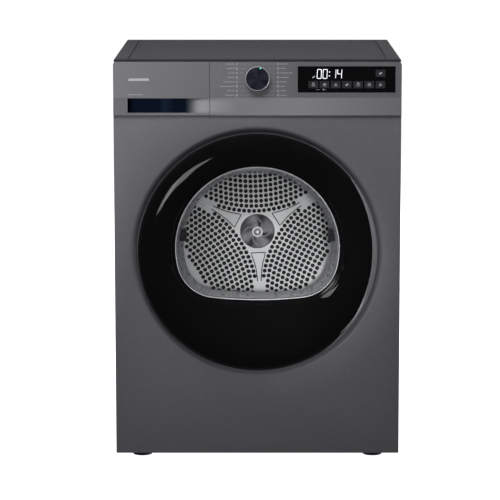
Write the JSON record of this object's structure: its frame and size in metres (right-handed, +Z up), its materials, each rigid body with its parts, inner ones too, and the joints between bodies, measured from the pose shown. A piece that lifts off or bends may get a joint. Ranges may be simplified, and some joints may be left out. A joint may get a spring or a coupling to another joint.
{
  "type": "clothes dryer",
  "caption": "Free-standing front-loading heat-pump clothes dryer with a round glazed door, a turning drum, a condensate drawer, a programme dial and touch keys",
  "frame": {"origin": "centre of the footprint on the floor, under the feet", "axes": "+Z up, +Y to the back (the door faces -Y), +X to the right as seen from the front"},
  "size_m": [0.596, 0.609, 0.845],
  "materials": {
    "painted_steel": "satin anthracite paint",
    "fascia_plastic": "satin metallic plastic",
    "worktop_plastic": "fine matt grain",
    "black_gloss": "high gloss black",
    "black_plastic": "satin black",
    "grey_plastic": "moulded grey",
    "clear_window": "clear moulded",
    "seal_rubber": "soft black",
    "stainless": "fine brushed stainless",
    "galvanised": "zinc coated sheet",
    "chrome_trim": "bright chrome",
    "spun_metal": "dark anodised spun face",
    "fin_aluminium": "thin bright fins",
    "copper_pipe": "drawn copper",
    "black_steel": "black enamel",
    "filter_plastic": "mid-blue moulded",
    "display_black": "gloss black",
    "key_plastic": "dark grey gloss"
  },
  "bodies": {
    "cabinet": {"base_tray": "black_plastic", "left_side_panel": "painted_steel", "right_side_panel": "painted_steel", "rear_panel": "galvanised", "rear_duct_cover": "galvanised", "mains_gland": "black_plastic", "front_panel": "painted_steel", "worktop_frame": "worktop_plastic", "worktop_board": "worktop_plastic", "control_fascia": "fascia_plastic", "display_window": "display_black", "dial_bezel": "chrome_trim", "front_bulkhead": "grey_plastic", "door_seal": "seal_rubber", "air_duct": "black_plastic", "hinge_bracket": "black_steel", "latch_housing": "black_plastic", "rear_bulkhead": "galvanised", "drum_bearing": "black_plastic", "drive_belt": "seal_rubber", "motor_housing": "galvanised", "fan_housing": "black_plastic", "heat_exchangers": "fin_aluminium", "compressor": "black_steel", "refrigerant_pipes": "copper_pipe", "condensate_pump": "black_plastic", "tank_tray": "grey_plastic"},
    "door": {"door_front_ring": "black_gloss", "door_window_bowl": "clear_window", "door_back_frame": "black_plastic", "door_grip": "chrome_trim", "door_hinge_arm": "black_steel", "door_latch_hook": "stainless"},
    "drum": {"drum_shell": "stainless", "drum_rear_wall": "stainless", "drum_lifters": "grey_plastic", "drum_hub": "spun_metal", "drum_shaft": "stainless"},
    "left_roller": {"roller_left": "seal_rubber"},
    "right_roller": {"roller_right": "seal_rubber"},
    "motor": {"motor_rotor": "stainless", "blower_wheel": "black_plastic"},
    "idler": {"idler_arm": "galvanised"},
    "idler_pulley": {"idler_wheel": "black_plastic"},
    "filter": {"lint_filter": "filter_plastic"},
    "tank": {"tank_body": "grey_plastic", "drawer_front": "fascia_plastic"},
    "dial": {"dial_knob": "spun_metal"},
    "key_cap_1": {"key_1": "key_plastic"},
    "key_cap_2": {"key_2": "key_plastic"},
    "key_cap_3": {"key_3": "key_plastic"},
    "key_cap_4": {"key_4": "key_plastic"},
    "key_cap_5": {"key_5": "key_plastic"},
    "key_cap_6": {"key_6": "key_plastic"},
    "key_cap_7": {"key_7": "key_plastic"},
    "key_cap_8": {"key_8": "key_plastic"},
    "foot_front_left": {"foot_front_left": "black_plastic"},
    "foot_front_right": {"foot_front_right": "black_plastic"},
    "foot_rear_left": {"foot_rear_left": "black_plastic"},
    "foot_rear_right": {"foot_rear_right": "black_plastic"}
  },
  "joints": [
    {"name": "door_hinge", "type": "hinge", "parent": "cabinet", "child": "door", "pos_m": [-0.236, -0.2825, 0.443], "axis": [0, 0, -1], "range_deg": [0, 115]},
    {"name": "drum_spin", "type": "hinge", "parent": "cabinet", "child": "drum", "pos_m": [0, 0.1995, 0.419], "axis": [0, 1, 0], "continuous": true},
    {"name": "left_roller_spin", "type": "hinge", "parent": "cabinet", "child": "left_roller", "pos_m": [-0.16178, -0.1965, 0.16009], "axis": [0, 1, 0], "continuous": true},
    {"name": "right_roller_spin", "type": "hinge", "parent": "cabinet", "child": "right_roller", "pos_m": [0.16178, -0.1965, 0.16009], "axis": [0, 1, 0], "continuous": true},
    {"name": "motor_spin", "type": "hinge", "parent": "cabinet", "child": "motor", "pos_m": [0.2, -0.0485, 0.1], "axis": [0, 1, 0], "continuous": true},
    {"name": "idler_swing", "type": "hinge", "parent": "cabinet", "child": "idler", "pos_m": [0.118, -0.1205, 0.052], "axis": [0, 1, 0], "range_deg": [-10, 0], "stiffness_Nm_per_rad": 4, "springref_deg": 8.59},
    {"name": "idler_spin", "type": "hinge", "parent": "idler", "child": "idler_pulley", "pos_m": [0.06169, -0.1305, 0.09018], "axis": [0, 1, 0], "continuous": true},
    {"name": "filter_lift", "type": "slide", "parent": "cabinet", "child": "filter", "axis": [0, 0, -1], "range_m": [-0.165, 0]},
    {"name": "tank_slide", "type": "slide", "parent": "cabinet", "child": "tank", "axis": [0, -1, 0], "range_m": [0, 0.44]},
    {"name": "dial_turn", "type": "hinge", "parent": "cabinet", "child": "dial", "pos_m": [0.0002, -0.2825, 0.8077], "axis": [0, 1, 0], "continuous": true},
    {"name": "key_1_press", "type": "slide", "parent": "cabinet", "child": "key_cap_1", "axis": [0, 1, 0], "range_m": [0, 0.0007], "stiffness_N_per_m": 900, "springref_m": -0.0006},
    {"name": "key_2_press", "type": "slide", "parent": "cabinet", "child": "key_cap_2", "axis": [0, 1, 0], "range_m": [0, 0.0007], "stiffness_N_per_m": 900, "springref_m": -0.0006},
    {"name": "key_3_press", "type": "slide", "parent": "cabinet", "child": "key_cap_3", "axis": [0, 1, 0], "range_m": [0, 0.0007], "stiffness_N_per_m": 900, "springref_m": -0.0006},
    {"name": "key_4_press", "type": "slide", "parent": "cabinet", "child": "key_cap_4", "axis": [0, 1, 0], "range_m": [0, 0.0007], "stiffness_N_per_m": 900, "springref_m": -0.0006},
    {"name": "key_5_press", "type": "slide", "parent": "cabinet", "child": "key_cap_5", "axis": [0, 1, 0], "range_m": [0, 0.0007], "stiffness_N_per_m": 900, "springref_m": -0.0006},
    {"name": "key_6_press", "type": "slide", "parent": "cabinet", "child": "key_cap_6", "axis": [0, 1, 0], "range_m": [0, 0.0007], "stiffness_N_per_m": 900, "springref_m": -0.0006},
    {"name": "key_7_press", "type": "slide", "parent": "cabinet", "child": "key_cap_7", "axis": [0, 1, 0], "range_m": [0, 0.0007], "stiffness_N_per_m": 900, "springref_m": -0.0006},
    {"name": "key_8_press", "type": "slide", "parent": "cabinet", "child": "key_cap_8", "axis": [0, 1, 0], "range_m": [0, 0.0007], "stiffness_N_per_m": 900, "springref_m": -0.0006},
    {"name": "foot_front_left_screw", "type": "slide", "parent": "cabinet", "child": "foot_front_left", "axis": [0, 0, -1], "range_m": [0, 0.012]},
    {"name": "foot_front_right_screw", "type": "slide", "parent": "cabinet", "child": "foot_front_right", "axis": [0, 0, -1], "range_m": [0, 0.012]},
    {"name": "foot_rear_left_screw", "type": "slide", "parent": "cabinet", "child": "foot_rear_left", "axis": [0, 0, -1], "range_m": [0, 0.012]},
    {"name": "foot_rear_right_screw", "type": "slide", "parent": "cabinet", "child": "foot_rear_right", "axis": [0, 0, -1], "range_m": [0, 0.012]}
  ],
  "couplings": [
    {"joint": "left_roller_spin", "follows": "drum_spin", "ratio": -12.864},
    {"joint": "right_roller_spin", "follows": "drum_spin", "ratio": -12.864},
    {"joint": "motor_spin", "follows": "drum_spin", "ratio": 17.688},
    {"joint": "idler_spin", "follows": "drum_spin", "ratio": -12.864}
  ]
}
